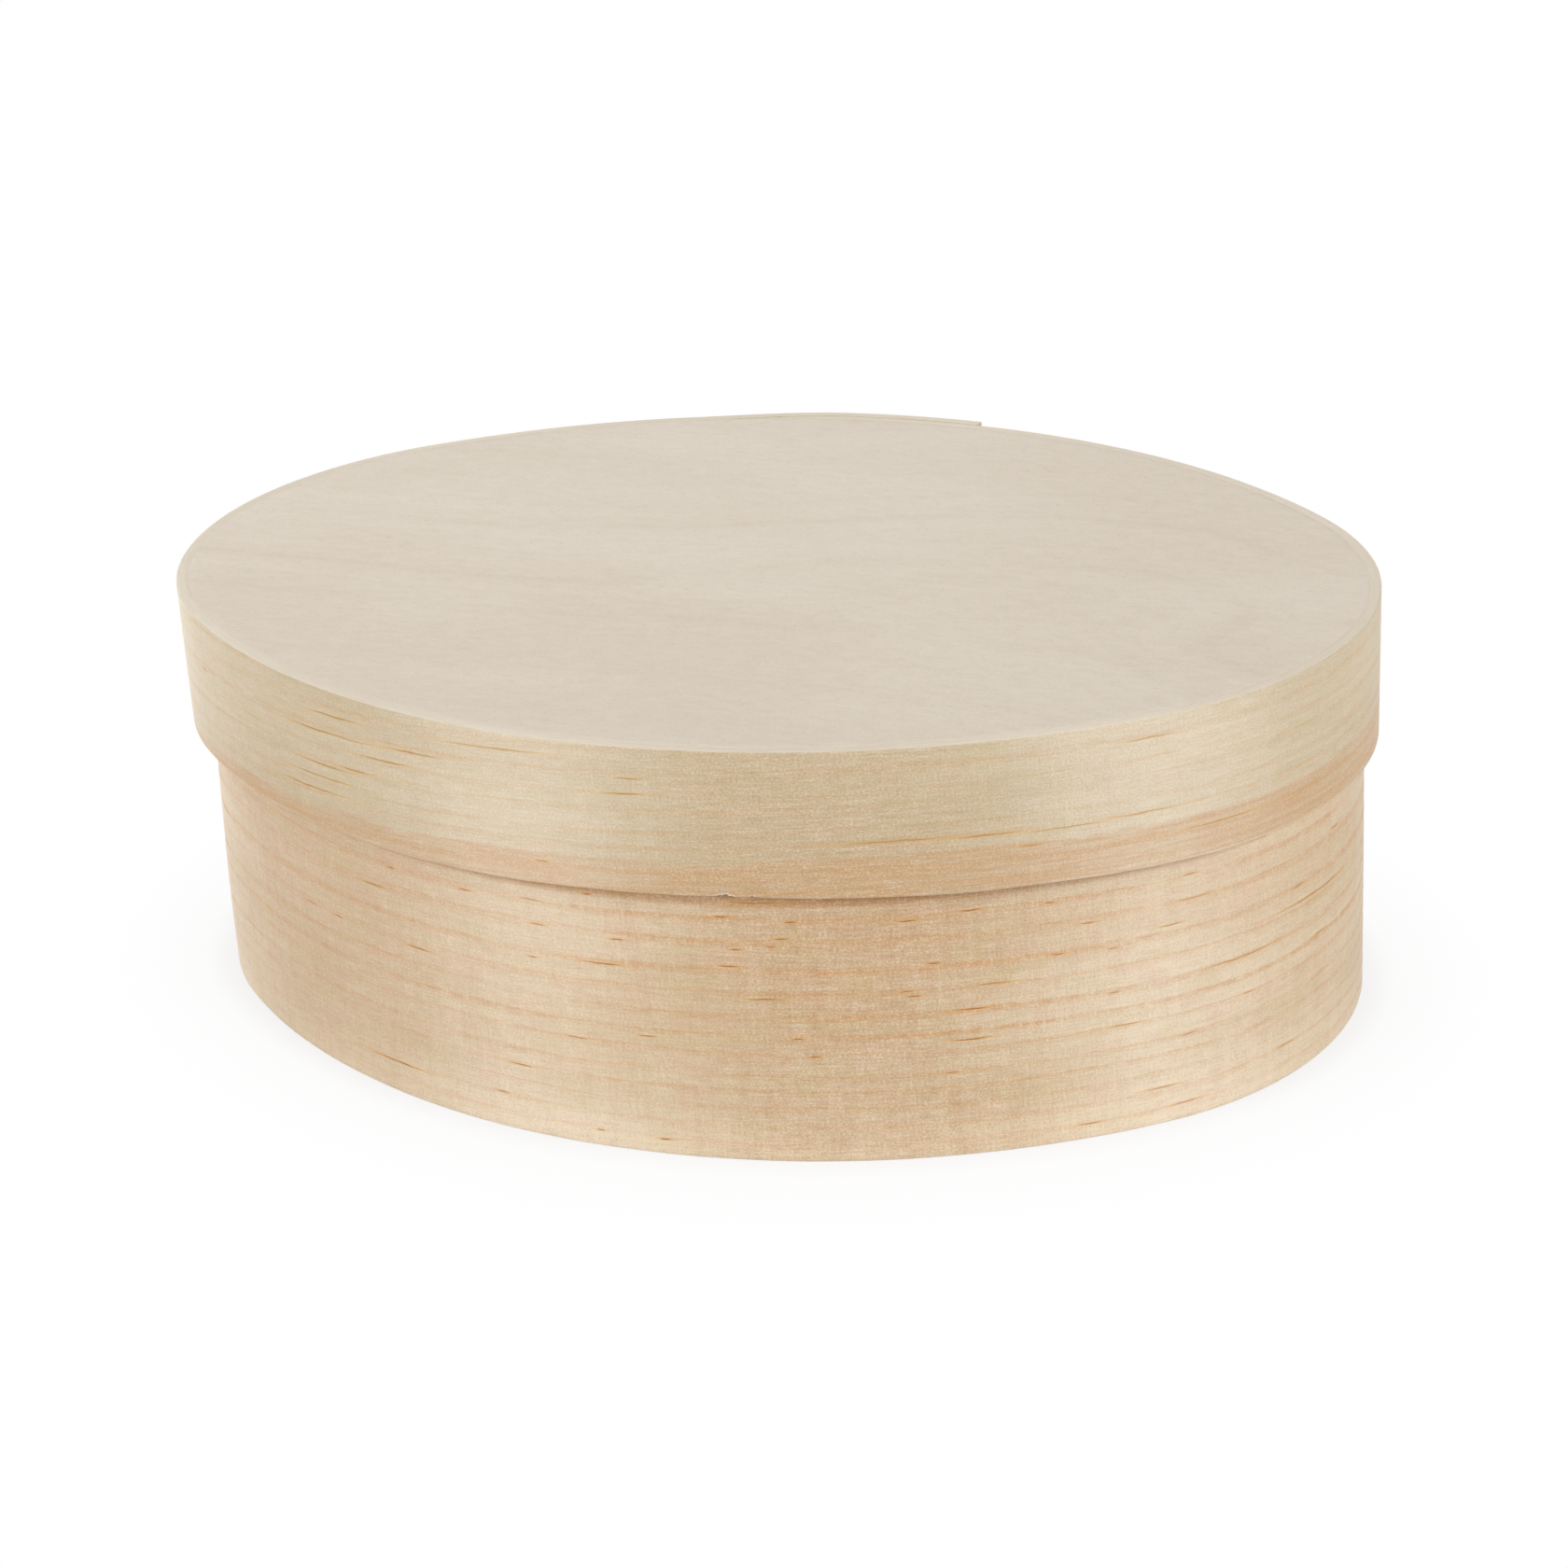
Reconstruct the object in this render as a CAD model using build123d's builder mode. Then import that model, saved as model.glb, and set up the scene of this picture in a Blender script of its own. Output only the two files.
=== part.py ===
from build123d import *
import os
from dataclasses import dataclass
from math import asin, atan2, cos, degrees, pi, radians, sin

# An oval cheese box bent from pine veneer. The base and the lid are each one long strip of veneer,
# bent round an oval and glued to itself in a lap at the back, with a thin oval panel glued inside it.
# The lid's strip slips down over the base, and the lid's panel rests on the base's rim.
#
# Millimetres, +Z up. The origin is the middle of the base's underside, +X runs along the oval,
# and +Y points to the back, where the two laps are.

# Overall size of the closed box
LID_LENGTH = 200.0
LID_WIDTH = 150.0
BOX_HEIGHT = 68.5
LID_HEIGHT = 23.5
LID_END_RADIUS = 58.5  # at the oval's two ends; its sides are flatter

# Stock thicknesses
LID_VENEER = 1.9
BASE_VENEER = 1.9
LID_PANEL_THICKNESS = 3.0
BASE_PANEL_THICKNESS = 3.0

# Fits
LID_CLEARANCE = 0.8  # all round, between the lid's strip and the base's strip
GLUE_LINE = 0.15  # between two glued faces
EDGE_EASE = 0.35  # sanded corner of a strip's outer edges
PANEL_EASE = 0.2  # sanded corner of a panel's outer face

# The lid's lap: its outer end is cut square and left at full thickness, so that it shows as a step
LID_LAP_RIGHT_OF_MIDDLE = 10.5  # the outer end's place, along the back from the Y axis
LID_LAP_FLAT = 24.0  # full-thickness overlap, from the outer end to the ramp
LID_LAP_RAMP = 28.0  # where the strip climbs over its own tapered inner end
LID_LAP_INNER_TIP = 0.3

# The base's lap: both ends are tapered, so that the lid slides over it
BASE_LAP_RIGHT_OF_MIDDLE = 4.0
BASE_LAP_FLAT = 3.0
BASE_LAP_RAMP = 46.0
BASE_LAP_OUTER_TIP = 0.35
BASE_LAP_INNER_TIP = 0.3

# Points that a ramp's curve passes through, as shares of its length
RAMP_SHARES = (0.0, 0.2, 0.4, 0.6, 0.8, 1.0)


@dataclass
class Oval:
    """An oval of two end arcs and two longer side arcs, which meet without a corner."""

    half_length: float
    half_width: float
    end_radius: float

    @property
    def end_centre(self):
        """How far the end arcs' centres stand from the middle, along X."""
        return self.half_length - self.end_radius

    @property
    def side_radius(self):
        flatter_by = self.half_width - self.end_radius
        return (self.end_centre**2 + self.half_width**2 - self.end_radius**2) / (2 * flatter_by)

    @property
    def side_centre(self):
        """How far each side arc's centre stands beyond the middle, along Y."""
        return self.side_radius - self.half_width

    @property
    def meeting_angle(self):
        """Angle from the X axis at which an end arc gives way to a side arc."""
        return degrees(atan2(self.side_centre, self.end_centre))

    def inset(self, depth):
        """The parallel oval that lies inside this one, or outside it for a negative depth."""
        return Oval(self.half_length - depth, self.half_width - depth, self.end_radius - depth)


@dataclass
class Lap:
    """Where and how a strip's two ends overlap, measured along the back of the oval."""

    right_of_middle: float
    flat: float
    ramp: float
    outer_tip: float
    inner_tip: float


def eased(share):
    """Share of a ramp's drop that is done at a share of its length: level at both ends."""
    return share * share * (3 - 2 * share)


def share_where_eased(done):
    """The share of a ramp's length at which this share of its drop is done."""
    return 0.5 - sin(asin(1 - 2 * done) / 3)


def draw_front_and_ends(oval):
    """Three of the oval's four arcs. The one at the back is left open."""
    turn = oval.meeting_angle
    CenterArc((oval.end_centre, 0), oval.end_radius, -turn, 2 * turn)
    CenterArc((0, oval.side_centre), oval.side_radius, 180 + turn, 180 - 2 * turn)
    CenterArc((-oval.end_centre, 0), oval.end_radius, 180 - turn, 2 * turn)


def draw_oval(oval):
    turn = oval.meeting_angle
    draw_front_and_ends(oval)
    CenterArc((0, -oval.side_centre), oval.side_radius, turn, 180 - 2 * turn)


def upper_and_lower_edges(builder):
    by_height = builder.edges().group_by(Axis.Z)
    return by_height[0] + by_height[-1]


@dataclass
class BentStrip:
    """A strip bent round an inner oval until it overlaps its own start at the back."""

    inner: Oval
    veneer: float
    lap: Lap

    @property
    def outer(self):
        return self.inner.inset(-self.veneer)

    @property
    def lift(self):
        """How far the outer end is raised by the end that lies under it."""
        return self.veneer + GLUE_LINE

    @property
    def lapped_radius(self):
        """Radius of the inner face where it lies on the other end."""
        return self.inner.side_radius + self.lift

    @property
    def bulge_radius(self):
        """Radius of the outer face over the lap."""
        return self.outer.side_radius + GLUE_LINE + self.lap.outer_tip

    @property
    def inner_end_share(self):
        """Share of the ramp's length at which the tapered inner end stops."""
        return share_where_eased((self.veneer - self.lap.inner_tip) / self.lift)

    def angle_at(self, distance):
        """Angle about the back arc's centre, at a distance leftwards from the outer end."""
        from_middle = distance - self.lap.right_of_middle
        return 90 + degrees(from_middle / self.outer.side_radius)

    def back_point(self, radius, angle):
        return (
            radius * cos(radians(angle)),
            radius * sin(radians(angle)) - self.inner.side_centre,
        )

    def draw_back_arc(self, radius, start, end):
        """A stretch of the back at a radius, between two angles about the back arc's centre."""
        CenterArc((0, -self.inner.side_centre), radius, start, end - start)

    def draw_ramp(self, high_radius, drop, length_share=1.0):
        """A face that falls smoothly from a radius, over a share of the ramp's length."""
        at = [length_share * share for share in RAMP_SHARES]
        points = [
            self.back_point(
                high_radius - drop * eased(share),
                self.angle_at(self.lap.flat + self.lap.ramp * share),
            )
            for share in at
        ]
        Spline(*points)
        return points[-1]

    def draw_outer_face(self):
        """From the outer end over the lap, down the ramp and round to the left edge of the back."""
        ramp_start = self.angle_at(self.lap.flat)
        ramp_end = self.angle_at(self.lap.flat + self.lap.ramp)
        self.draw_back_arc(self.bulge_radius, self.angle_at(0), ramp_start)
        self.draw_ramp(self.bulge_radius, self.lap.outer_tip + GLUE_LINE)
        self.draw_back_arc(self.outer.side_radius, ramp_end, 180 - self.outer.meeting_angle)
        draw_front_and_ends(self.outer)

    def draw_outline(self):
        """All that shows from outside, with the step where the outer end stops."""
        outer_end = self.angle_at(0)
        self.draw_outer_face()
        self.draw_back_arc(self.outer.side_radius, self.outer.meeting_angle, outer_end)
        Line(
            self.back_point(self.outer.side_radius, outer_end),
            self.back_point(self.bulge_radius, outer_end),
        )

    def draw_strip(self):
        """The strip's own plan, with the glue line between its two ends."""
        turn = self.inner.meeting_angle
        outer_end = self.angle_at(0)
        ramp_start = self.angle_at(self.lap.flat)
        ramp_end = self.angle_at(self.lap.flat + self.lap.ramp)
        inner_end = self.angle_at(self.lap.flat + self.lap.ramp * self.inner_end_share)

        # Inner face: from the inner end rightwards, round the oval, and up the ramp over that end
        self.draw_back_arc(self.inner.side_radius, turn, inner_end)
        draw_front_and_ends(self.inner)
        self.draw_back_arc(self.inner.side_radius, ramp_end, 180 - turn)
        self.draw_ramp(self.lapped_radius, self.lift)
        self.draw_back_arc(self.lapped_radius, outer_end, ramp_start)
        Line(
            self.back_point(self.lapped_radius, outer_end),
            self.back_point(self.bulge_radius, outer_end),
        )

        # Outer face, all the way back round to the tapered inner end
        self.draw_outer_face()
        self.draw_back_arc(self.outer.side_radius, turn, ramp_start)
        taper_foot = self.draw_ramp(self.outer.side_radius, self.lift, self.inner_end_share)
        Line(taper_foot, self.back_point(self.inner.side_radius, inner_end))


lid_outside = Oval(LID_LENGTH / 2, LID_WIDTH / 2, LID_END_RADIUS)
lid_inside = lid_outside.inset(LID_VENEER)
base_outside = lid_inside.inset(LID_CLEARANCE)
base_inside = base_outside.inset(BASE_VENEER)
rim_height = BOX_HEIGHT - LID_PANEL_THICKNESS

lid_lap = Lap(
    LID_LAP_RIGHT_OF_MIDDLE, LID_LAP_FLAT, LID_LAP_RAMP, LID_VENEER, LID_LAP_INNER_TIP
)
base_lap = Lap(
    BASE_LAP_RIGHT_OF_MIDDLE, BASE_LAP_FLAT, BASE_LAP_RAMP, BASE_LAP_OUTER_TIP, BASE_LAP_INNER_TIP
)
lid_strip = BentStrip(lid_inside, LID_VENEER, lid_lap)
base_strip = BentStrip(base_inside, BASE_VENEER, base_lap)

# Base: the bent strip, as high as the lid panel's underside
with BuildPart() as base_band:
    with BuildSketch():
        with BuildLine():
            base_strip.draw_outline()
        make_face()
    extrude(amount=rim_height)
    chamfer(upper_and_lower_edges(base_band), EDGE_EASE)
    with BuildSketch():
        with BuildLine():
            base_strip.draw_strip()
        make_face()
    extrude(amount=rim_height, mode=Mode.INTERSECT)

# Base: the oval bottom panel, flush with the strip's lower edge
with BuildPart() as base_panel:
    with BuildSketch():
        with BuildLine():
            draw_oval(base_inside.inset(GLUE_LINE))
        make_face()
    extrude(amount=BASE_PANEL_THICKNESS)
    chamfer(base_panel.edges().group_by(Axis.Z)[0], PANEL_EASE)

# Lid: the bent strip
with BuildPart() as lid_band:
    with BuildSketch(Plane.XY.offset(BOX_HEIGHT - LID_HEIGHT)):
        with BuildLine():
            lid_strip.draw_outline()
        make_face()
    extrude(amount=LID_HEIGHT)
    chamfer(upper_and_lower_edges(lid_band), EDGE_EASE)
    with BuildSketch(Plane.XY.offset(BOX_HEIGHT - LID_HEIGHT)):
        with BuildLine():
            lid_strip.draw_strip()
        make_face()
    extrude(amount=LID_HEIGHT, mode=Mode.INTERSECT)

# Lid: the oval top panel, flush with the strip's upper edge
with BuildPart() as lid_panel:
    with BuildSketch(Plane.XY.offset(rim_height)):
        with BuildLine():
            draw_oval(lid_inside.inset(GLUE_LINE))
        make_face()
    extrude(amount=LID_PANEL_THICKNESS)
    chamfer(lid_panel.edges().group_by(Axis.Z)[-1], PANEL_EASE)

os.makedirs("parts", exist_ok=True)
base_band.part.label = "base_band"
base_panel.part.label = "base_panel"
lid_band.part.label = "lid_band"
lid_panel.part.label = "lid_panel"
for piece in (base_band, base_panel, lid_band, lid_panel):
    export_step(piece.part, f"parts/{piece.part.label}.step")
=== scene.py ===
from math import atan2, ceil, cos, pi, radians, sin

import bpy
import numpy as np
from bpy.props import FloatProperty, FloatVectorProperty, PointerProperty
from mathutils import Matrix, Vector


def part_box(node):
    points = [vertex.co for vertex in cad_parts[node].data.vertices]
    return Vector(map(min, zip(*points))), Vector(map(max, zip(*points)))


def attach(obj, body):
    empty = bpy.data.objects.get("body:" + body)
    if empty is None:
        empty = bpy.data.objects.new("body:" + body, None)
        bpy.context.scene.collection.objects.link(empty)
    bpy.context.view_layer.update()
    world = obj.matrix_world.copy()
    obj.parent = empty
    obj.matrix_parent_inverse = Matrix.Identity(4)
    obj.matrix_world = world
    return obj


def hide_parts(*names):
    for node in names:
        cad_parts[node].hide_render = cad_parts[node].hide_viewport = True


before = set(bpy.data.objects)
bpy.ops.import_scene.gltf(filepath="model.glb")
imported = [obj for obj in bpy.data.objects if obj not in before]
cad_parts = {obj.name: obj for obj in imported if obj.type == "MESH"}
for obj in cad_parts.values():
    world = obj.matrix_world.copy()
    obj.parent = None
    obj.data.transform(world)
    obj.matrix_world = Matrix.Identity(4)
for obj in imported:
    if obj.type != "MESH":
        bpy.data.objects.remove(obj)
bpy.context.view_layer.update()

bl_info = {
    "name": "Oval Veneer Cheese Box",
    "version": (1, 0, 0),
    "blender": (4, 5, 0),
    "location": "3D View > Sidebar > Cheese Box",
    "description": "Builds an oval cheese box of bent pine veneer, and a studio for it",
    "category": "Add Mesh",
}

MM = 0.001
GRAIN_MAP = "Grain"  # along and across the grain, in metres
BAKE_MAP = "OFBake"  # every face laid flat once, in the unit square
BAKE_MARGIN = 0.004  # kept free round the parts of the bake map
CORNER_STEPS = 3  # faces round each edge of a strip

# How far along the grain the hidden faces lie from the outer ones, in metres
INSIDE_GRAIN = 0.9
SHEET_INSIDE_GRAIN = 0.5
SHEET_EDGE_GRAIN = 0.4  # across the grain

# A panel's mesh: points round it, rings on each flat side, and rows of its edge on the bake map
PANEL_STATIONS = 420
PANEL_RINGS = (1.0, 0.985, 0.95, 0.88, 0.78, 0.64, 0.48, 0.32, 0.16, 0.04)
EDGE_ROWS = 6

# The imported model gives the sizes
lid_low, lid_high = (Vector(corner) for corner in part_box("lid_band"))
base_low, base_high = (Vector(corner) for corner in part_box("base_band"))
lid_panel_low, lid_panel_high = (Vector(corner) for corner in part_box("lid_panel"))
base_panel_low, base_panel_high = (Vector(corner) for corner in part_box("base_panel"))
SKIRT_GAP = base_low.x - lid_low.x  # from the lid's outer face in to the base's


def painted(red, green, blue):
    """A colour as it is seen on a screen, from 0 to 255, turned into linear light."""
    shares = [value / 255 for value in (red, green, blue)]
    return tuple(s / 12.92 if s <= 0.04045 else ((s + 0.055) / 1.055) ** 2.4 for s in shares)


# The growth rings of the base's veneer, as heights of their dark lines and how strong they are
BASE_RINGS_MM = (
    (-1, 0.5), (2.7, 0.6), (5.8, 0.55), (8.9, 0.45), (11.8, 0.55), (14.4, 0.85), (18.1, 0.5),
    (21, 1), (24.4, 0.85), (28.2, 0.45), (31.9, 1), (36.8, 0.75), (40.6, 0.9), (43.4, 0.6),
    (46.9, 0.9), (50.1, 0.7), (53.6, 1), (57.2, 0.8), (60.3, 0.6), (63.9, 0.9), (67, 0.7),
)
# The lid's veneer is cut along wider and fainter rings, which climb to the right
LID_RINGS_MM = (
    (43, 0.6), (46.6, 1), (49.4, 1), (53.9, 0.7), (56, 0.5), (59.9, 0.7), (62.3, 0.4),
    (65.8, 0.8), (69.5, 0.5), (72.4, 0.7), (76, 0.5),
)
# Lines of the lid sheet's figure, as distances from its long axis at the left
SHEET_LINES_MM = (
    (-84, 0.3), (-66, 0.4), (-51, 0.6), (-39, 0.3), (-27.5, 0.9), (-13.5, 1), (-4, 0.3),
    (8, 0.9), (18.5, 0.5), (31, 0.35), (43, 0.5), (58, 0.3), (75, 0.3),
)

# Resin streaks seen on the front: start and end along the strip from the front's middle, and height
BASE_STREAKS_MM = (
    (-48, -33, 5.5), (-46, -38, 35.9), (-38.5, -36.2, 39.9), (-36.7, -29.6, 27.3),
    (-24.3, -20.4, 39.8), (-20.4, -16.7, 6.2), (-18, -11.5, 11.7), (-12.9, -7.5, 40.5),
    (-12.1, -9.6, 30.9), (-11.3, -7.5, 36.5), (-7, -1.5, 18.3), (-3.8, 5.8, 31.6),
    (-2.5, -0.3, 2.8), (-1.7, 0.5, 42.9), (2.1, 5.4, 35.9), (5.4, 9.6, 20.1),
    (7.9, 10.4, 2.6), (18.7, 21.8, 40.9), (18.7, 23.3, 32.8), (20.8, 23.8, 35.6),
    (20.5, 31, 43.3), (22.5, 30.4, 27.5), (26.3, 28.8, 36.2), (27.5, 30.8, 37.5),
    (29.2, 32, 40.2), (29.6, 32, 20.9), (31.7, 34.6, 17.9), (45.8, 50, 39.9),
    (45.8, 48.7, 28.3), (46.6, 50, 27.5), (50, 53, 32.6), (52, 55, 14.3), (52.5, 60.8, 19.6),
    (53, 60.4, 24.6), (55, 59.6, 40.8), (56.7, 64, 28.4), (67.9, 70.4, 40.4),
    (68.7, 71.7, 31.8), (71.7, 77, 2.6), (73.3, 76.7, 36.2), (77, 84, 18.2),
    (77.5, 80, 31.3), (77.5, 80, 23.9), (82.5, 90, 6.2), (85.4, 91.3, 33.2),
    (86.7, 94, 2.8), (87.9, 97, 36.8), (89, 93, 14.3), (90, 93, 40.8),
    (90, 110, 24.4), (100.5, 103.8, 18), (105, 133, 28.9), (107.5, 113, 6),
    (111, 116, 31.8), (117, 122.5, 21.6), (122.5, 126.7, 37.4), (-61, -57, 27.6),
    (-53, -50, 27.6),
)
LID_STREAKS_MM = (
    (-88, -84, 60.3), (-60, -34, 61.3), (-64.5, -41, 50.8), (-61, -39, 53.3),
    (-56.5, -41, 55.5), (-52.5, -37, 64.5), (-46, -36.5, 56.5), (-42, -27, 59.7),
    (-36, -20.5, 62.3), (-25, -3, 65.8), (-8.3, -4.6, 48.5), (3.5, 12.2, 61.1),
    (6, 11.5, 63.6), (37.5, 57.5, 54), (54.5, 68, 53.7),
    (65, 81, 53.4), (77, 93.5, 53.65), (65, 70, 51.2), (80.5, 91.5, 65.4),
    (88, 107, 49.5),
)
HALF_STREAK_MM = 0.2  # half of a streak's thickness at its middle
HALF_CHIP_MM = 0.4  # half of the height that a chip's pale wood takes up
FRONT_MIDDLE_MM = 23.0  # the middle of the stretch that the photograph shows
HALF_FRONT_MM = 115.0
FAR_AWAY = 9.0  # past the rim of any streak

# The lathe leaves the veneer smooth along its fibres, so that it shines in upright bands
VENEER_ROUGHNESS = 0.45
VENEER_SATIN = {
    "Anisotropic": 1.0, "Anisotropic Rotation": 0.25, "Specular IOR Level": 1.0, "IOR": 1.58
}


class Oval:
    """Four arcs that meet without a corner: two at the ends and two flatter ones at the sides."""

    def __init__(self, half_length, half_width, end_radius):
        self.end_radius = end_radius
        self.end_centre = half_length - end_radius
        flatter_by = half_width - end_radius
        across = self.end_centre**2 + half_width**2 - end_radius**2
        self.side_radius = across / (2 * flatter_by)
        self.side_centre = self.side_radius - half_width
        self.meeting = atan2(self.side_centre, self.end_centre)
        self.half_side = self.side_radius * (pi / 2 - self.meeting)
        self.end_arc = self.end_radius * 2 * self.meeting
        self.girth = 4 * self.half_side + 2 * self.end_arc

    def follow(self, along):
        """Points and outward normals at distances from the front's middle, towards +X."""
        along = np.asarray(along, float) % self.girth
        from_front = np.minimum(along, self.girth - along)
        folded = np.minimum(from_front, self.girth / 2 - from_front)
        on_side = folded <= self.half_side
        side_turn = folded / self.side_radius - pi / 2
        end_turn = (folded - self.half_side) / self.end_radius - self.meeting
        turn = np.where(on_side, side_turn, end_turn)
        radius = np.where(on_side, self.side_radius, self.end_radius)
        x = radius * np.cos(turn) + np.where(on_side, 0, self.end_centre)
        y = radius * np.sin(turn) + np.where(on_side, self.side_centre, 0)
        left = np.where(along > self.girth / 2, -1, 1)
        back = np.where(from_front > self.girth / 4, -1, 1)
        normals = np.stack([np.cos(turn) * left, np.sin(turn) * back], -1)
        return np.stack([x * left, y * back], -1), normals


def waves(along, parts):
    """A smooth wander: a sum of (wavelength, height, start) waves."""
    return sum(height * np.sin(2 * pi * along / length + start) for length, height, start in parts)


def eased(share):
    share = np.clip(share, 0, 1)
    return share * share * (3 - 2 * share)


def bump_at(along, middle, reach):
    """A rounded hump of height 1 around one place."""
    return np.exp(-(((along - middle) / reach) ** 2))


def build_mesh(name, points, faces, grain, flat, sharp_ends=()):
    """A mesh with its grain map and its bake map, smooth all over but for its cut ends."""
    mesh = bpy.data.meshes.new(name)
    mesh.from_pydata(points.tolist(), [], faces)
    for map_name, places in ((GRAIN_MAP, grain), (BAKE_MAP, flat)):
        layer = mesh.uv_layers.new(name=map_name, do_init=False)
        layer.uv.foreach_set("vector", np.asarray(places, np.float32).ravel())
    mesh.uv_layers.active = mesh.uv_layers[GRAIN_MAP]
    mesh.uv_layers[GRAIN_MAP].active_render = True
    mesh.shade_smooth()
    if sharp_ends:
        edges = np.zeros(len(mesh.edges) * 2, np.int32)
        mesh.edges.foreach_get("vertices", edges)
        edges = edges.reshape(-1, 2)
        sharp = np.zeros(len(edges), bool)
        for end in sharp_ends:
            sharp |= np.isin(edges, end).all(1)
        mark = mesh.attributes.new("sharp_edge", "BOOLEAN", "EDGE")
        mark.data.foreach_set("value", sharp)
    mesh.validate()
    made = bpy.data.objects.new(name, mesh)
    bpy.context.scene.collection.objects.link(made)
    return made


def closed_grid(rows, around):
    """Faces between rows of points, where each row closes on itself."""
    first = np.arange(rows - 1)[:, None] * around
    second = first + around
    at = np.arange(around)
    after = (at + 1) % around
    return np.stack([first + at, first + after, second + after, second + at], -1)


def pairs(u, v):
    """Places on a map, one for each corner."""
    return np.stack(np.broadcast_arrays(u, v), -1).reshape(-1, 2)


def rounded_section(outer, inner, low, high, roundings, rows):
    """Closed sections of a strip: how far out, how high, and how high with the section unrolled.

    outer, inner, low and high hold one value for each station, and so do the rows that come back.
    A section runs up the outer face, over the upper edge, down the inner face and back under the
    lower edge.
    """
    thickness = outer - inner
    middle = (outer + inner) / 2
    corner, hidden = (np.minimum(rounding, 0.45 * thickness) for rounding in roundings)
    turn = np.linspace(0, pi / 2, CORNER_STEPS + 1)[:, None]
    early, late = turn[:-1], turn[1:]
    share = np.linspace(0, 1, rows)[:, None]
    face, top, foot = outer - corner, high - corner, low + corner
    back, back_high, back_low = inner + hidden, high - hidden, low + hidden
    climb = foot + share * (top - foot)
    fall = (back_low + share * (back_high - back_low))[::-1]
    over = back_high + thickness + hidden * early
    under = foot - corner * (pi / 2 - early)
    section = (
        (outer + 0 * share, climb, climb),
        (face + corner * np.cos(late), top + corner * np.sin(late), top + corner * late),
        (middle[None], high[None], (high + thickness / 2)[None]),
        (back - hidden * np.sin(early), back_high + hidden * np.cos(early), over),
        (inner + 0 * share, fall, fall),
        (back - hidden * np.cos(late), back_low - hidden * np.sin(late), back_low - hidden * late),
        (middle[None], low[None], (low - thickness / 2)[None]),
        (face + corner * np.sin(early), foot - corner * np.cos(early), under),
    )
    return (np.concatenate(parts).T for parts in zip(*section))


class Strip:
    """A veneer strip bent round an oval, lapped on itself at the back."""

    def __init__(self, oval, veneer, glue_line, lap):
        self.oval = oval
        self.veneer = veneer
        self.lap = lap
        self.lift = veneer + glue_line
        self.bulge = glue_line + lap["outer_tip"]
        half = oval.girth / 2
        lift_share = (veneer - lap["inner_tip"]) / self.lift
        self.tip_share = 0.5 - sin(np.arcsin(1 - 2 * lift_share) / 3)
        self.outer_end = -(half + lap["right_of_middle"])
        self.lap_edge = half - lap["right_of_middle"]
        self.inner_end = self.lap_edge + lap["flat"] + lap["ramp"] * self.tip_share

    def offsets(self, along):
        """How far the outer and the inner face stand from the oval's outer face."""
        from_end = along - self.outer_end
        climbing = 1 - eased((from_end - self.lap["flat"]) / self.lap["ramp"])
        tapering = eased((along - self.lap_edge - self.lap["flat"]) / self.lap["ramp"])
        outer = self.bulge * climbing - self.lift * tapering
        inner = self.lift * climbing - self.veneer
        return outer, inner


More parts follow.
